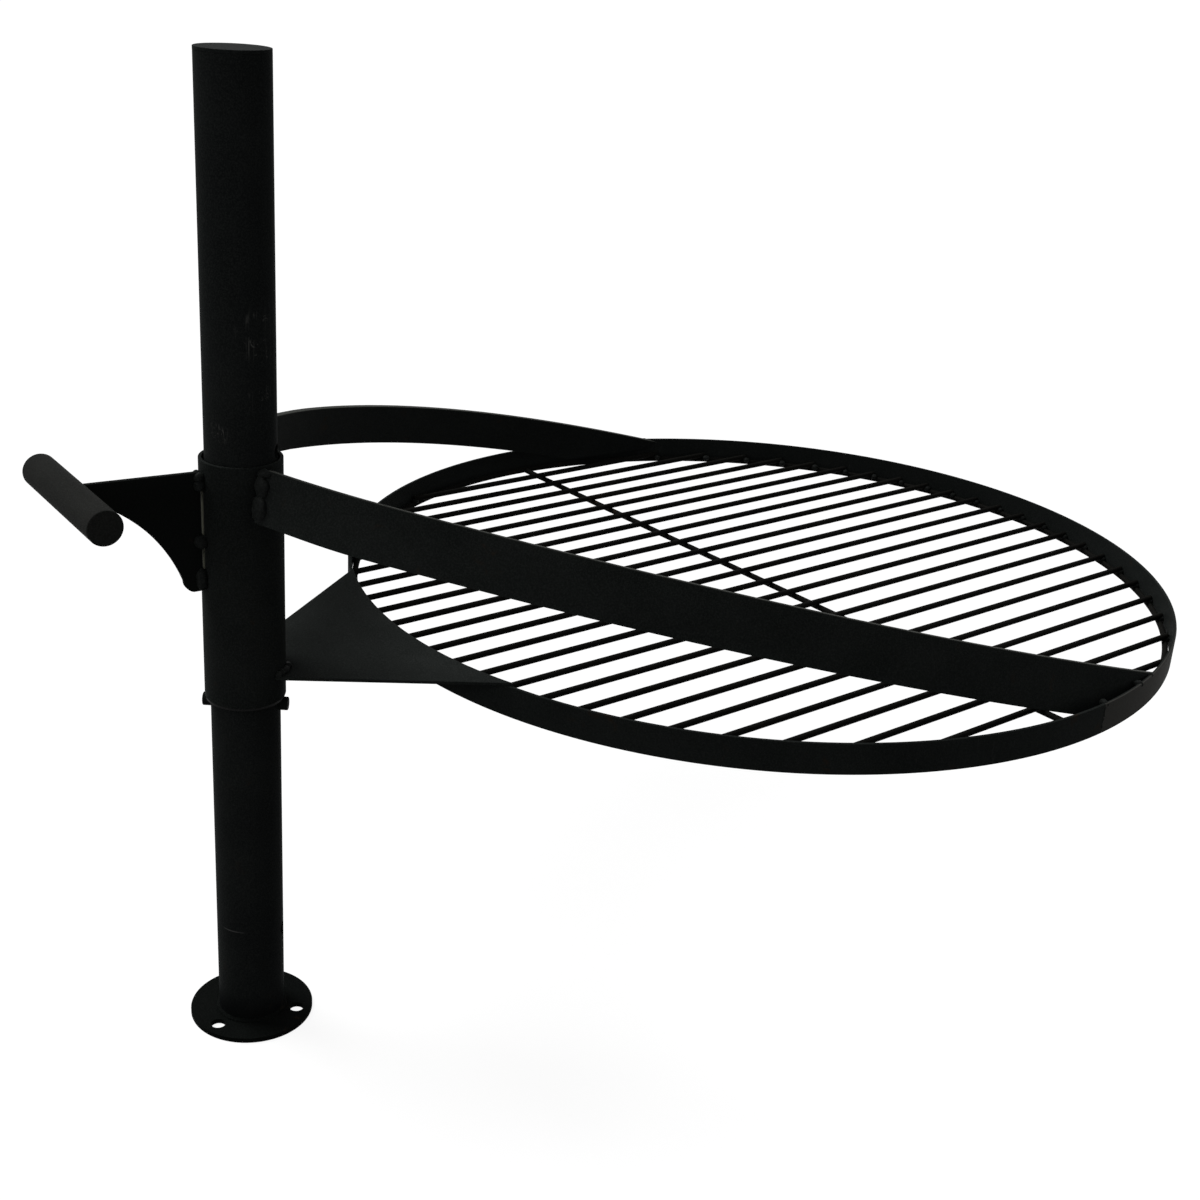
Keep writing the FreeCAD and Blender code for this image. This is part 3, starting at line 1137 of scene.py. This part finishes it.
@dataclass
class Grate:
    """Hoop, bearer rod, parallel rods and their end welds."""

    grill: Grill
    hoop_steps: int = 200
    section_sides: int = 14
    end_rise: float = 3.4 * MM
    end_inset: float = 3.0 * MM
    end_radii: Triple = (4.6, 4.2, 3.0)
    end_change: float = 0.25
    end_pattern: Pair = (9.0, 0.5)
    end_lumps: Pair = (0.7 * MM, 3.0 * MM)

    def build(self) -> None:
        """Make the hoop, paint the rods and weld their ends."""
        low, high = self.grill.box("grate_hoop")
        radius = (high.z - low.z) / 2
        middle = Vector(((low.x + high.x) / 2, 0.0, (low.z + high.z) / 2))
        self._hoop(middle, (high.x - low.x) / 2 - radius, radius)
        rods = sorted(name for name in self.grill.nodes if name.startswith("grate_rod_"))
        for name in rods + ["grate_cross_rod"]:
            self.grill.palette.repaint(self.grill.nodes[name], Finish.GRATE)
        self._end_welds(rods, middle)

    def _hoop(self, middle: Vector, reach: float, radius: float) -> None:
        """Round rod bent to a hoop.

        Args:
            middle: centre of the hoop.
            reach: radius of the hoop, to the middle of the rod.
            radius: radius of the rod.
        """
        mesh = Mesh()
        bm = mesh.bm
        place = Matrix.Translation((reach, 0.0, 0.0)) @ Matrix.Rotation(QUARTER_TURN, 4, "X")
        ring = bmesh.ops.create_circle(bm, segments=self.section_sides, radius=radius, matrix=place)["verts"]
        edges = list({e for v in ring for e in v.link_edges})
        bmesh.ops.spin(bm, geom=ring + edges, cent=(0, 0, 0), axis=(0, 0, 1), dvec=(0, 0, 0),
                       angle=WHOLE_TURN, steps=self.hoop_steps, use_merge=True)
        bmesh.ops.recalc_face_normals(bm, faces=bm.faces[:])
        mesh.move(Matrix.Translation(middle))
        self.grill.stand_in(mesh, "grate_hoop", Body.FRAME, Finish.GRATE)

    def _end_welds(self, rods: Iterable[str], middle: Vector) -> None:
        """Small drop of weld at each rod end, on the hoop.

        Args:
            rods: names of the rods.
            middle: centre of the hoop.
        """
        mesh = Mesh()
        spread, offset = self.end_pattern
        for number, name in enumerate(rods):
            points = [v.co for v in self.grill.nodes[name].data.vertices]
            for end in (min(points, key=lambda p: p.x), max(points, key=lambda p: p.x)):
                inward = (middle - end).normalized()
                spot = Vector((end.x, end.y, middle.z + self.end_rise)) + inward * self.end_inset
                size = 1.0 + self.end_change * noise.noise(Vector((number, end.x * spread, offset)))
                mesh.drop(spot, Vector(self.end_radii) * size * MM, inward, fine=2)
        mesh.lump(*self.end_lumps)
        self.grill.added(mesh, "rod_end_welds", Body.FRAME, Finish.GRATE_WELD)


@dataclass(frozen=True)
class Panel:
    """Square soft light: power in watts, and size, place and aim in metres."""

    name: str
    power: float
    size: float
    place: Triple
    aim: Triple


@dataclass
class Studio:
    """White ground, soft light from above and the photograph's viewpoint."""

    focal_share: float = 1702.28 / 1200.0
    sensor: float = 36.0
    clip: Pair = (0.01, 500.0)
    place: Triple = (-0.545544, -1.270138, 0.990659)
    yaw: float = 0.6287
    pitch: float = 0.3874
    roll: float = 0.0649
    ambient: float = 0.31
    top_light: float = 2.6
    top_softness: float = math.radians(28.0)
    light_turn: float = math.radians(116.0)
    light_rise: float = 1.5
    panels: tuple[Panel, ...] = (
        Panel("right_panel", 0.4, 0.3, (1.05, -0.85, 0.5), (0.65, -0.4, 0.35)),
        Panel("left_panel", 8.0, 1.2, (-2.0, -0.45, 1.1), (0.1, 0.0, 0.45)),
    )
    floor_size: float = 120.0
    floor_dull: Colour = (0.10, 0.10, 0.10)
    floor_pale: Colour = (0.14, 0.14, 0.14)
    floor_glow: float = 0.90

    def build(self) -> None:
        """Make camera, ground, sky and lamps."""
        self._camera()
        self._ground()
        self._sky()
        self._lamps()
        bpy.context.scene.view_settings.view_transform = "Standard"

    def _camera(self) -> None:
        """Camera from its turn, tilt and roll."""
        level = math.cos(self.pitch)
        ahead = Vector((math.sin(self.yaw) * level, math.cos(self.yaw) * level, -math.sin(self.pitch)))
        right = Vector((math.cos(self.yaw), -math.sin(self.yaw), 0.0))
        up = right.cross(ahead)
        c, s = math.cos(self.roll), math.sin(self.roll)
        axes = (c * right + s * up, -s * right + c * up, -ahead)
        lens = bpy.data.cameras.new("viewpoint")
        lens.sensor_width, lens.lens = self.sensor, self.sensor * self.focal_share
        lens.clip_start, lens.clip_end = self.clip
        camera = bpy.data.objects.new("viewpoint", lens)
        turn = Matrix([[axis[row] for axis in axes] for row in range(3)]).to_4x4()
        camera.matrix_world = Matrix.Translation(self.place) @ turn
        bpy.context.scene.collection.objects.link(camera)
        bpy.context.scene.camera = camera

    @staticmethod
    def _seen(tree: ShaderTree) -> Sock:
        """Tell the rays that look at the surroundings from those that gather light.

        Args:
            tree: nodes of the ground or the sky.

        Returns:
            1 for rays that come from the camera, a reflection or glass, and 0 for others.
        """
        rays = [tree.add("LightPath", output=name)
                for name in ("Is Camera Ray", "Is Glossy Ray", "Is Transmission Ray")]
        return (rays[0] + rays[1] + rays[2]).band(0.0, 1.0)

    def _ground(self) -> None:
        """Wide floor that looks white and keeps the shadow."""
        bm = bmesh.new()
        bmesh.ops.create_grid(bm, x_segments=1, y_segments=1, size=self.floor_size)
        data = bpy.data.meshes.new("ground")
        bm.to_mesh(data)
        bm.free()
        ground = bpy.data.objects.new("ground", data)
        bpy.context.scene.collection.objects.link(ground)
        white = bpy.data.materials.new("ground_white")
        tree = ShaderTree(white)
        dull = tree.add("BsdfDiffuse", None, {"Color": (*self.floor_dull, 1.0)})
        pale = tree.add("BsdfDiffuse", None, {"Color": (*self.floor_pale, 1.0)})
        glow = tree.add("Emission", None, {"Color": WHITE, "Strength": self.floor_glow})
        bright = tree.add("AddShader", None, {0: pale, 1: glow})
        mixed = tree.add("MixShader", None, {0: self._seen(tree), 1: dull, 2: bright})
        tree.add("OutputMaterial", None, {"Surface": mixed})
        data.materials.append(white)

    def _sky(self) -> None:
        """White to the eye, dim as a light."""
        sky = bpy.data.worlds.new("sky")
        bpy.context.scene.world = sky
        tree = ShaderTree(sky)
        strength = self._seen(tree) * (1.0 - self.ambient) + self.ambient
        glow = tree.add("Background", None, {"Color": WHITE, "Strength": strength})
        tree.add("OutputWorld", None, {"Surface": glow})

    def _lamps(self) -> None:
        """Soft light from behind on the left, and two weak panels, right and left."""
        sun = bpy.data.lights.new("overhead", "SUN")
        sun.energy, sun.angle = self.top_light, self.top_softness
        down = -upright_turn(self.light_turn, 1.0, self.light_rise)
        self._hang(sun, Vector(), down)
        for panel in self.panels:
            light = bpy.data.lights.new(panel.name, "AREA")
            light.energy, light.size = panel.power, panel.size
            place = Vector(panel.place)
            self._hang(light, place, Vector(panel.aim) - place).visible_camera = False

    @staticmethod
    def _hang(light: bpy.types.Light, place: Vector, towards: Vector) -> bpy.types.Object:
        """Hang a lamp and point it.

        Args:
            light: the light.
            place: where it hangs.
            towards: direction of its light.

        Returns:
            The lamp, named for its light.
        """
        lamp = bpy.data.objects.new(light.name, light)
        lamp.location = place
        lamp.rotation_euler = towards.to_track_quat("-Z", "Y").to_euler()
        bpy.context.scene.collection.objects.link(lamp)
        return lamp


def main() -> None:
    """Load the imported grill, dress it and light it."""
    logging.basicConfig(level=logging.INFO, format="%(name)s: %(message)s")
    for leftover in list(bpy.data.objects):
        bpy.data.objects.remove(leftover)
    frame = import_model()
    grill = Grill(frame["nodes"], Palette())
    assemblies = (Stand(grill), PinAndWasher(grill), SleeveAndHandle(grill), RingAndArms(grill),
                  Grate(grill), Studio())
    for assembly in assemblies:
        assembly.build()
        LOG.info("built %s", type(assembly).__name__)
    bpy.context.view_layer.update()


if __name__ == "__main__":
    main()
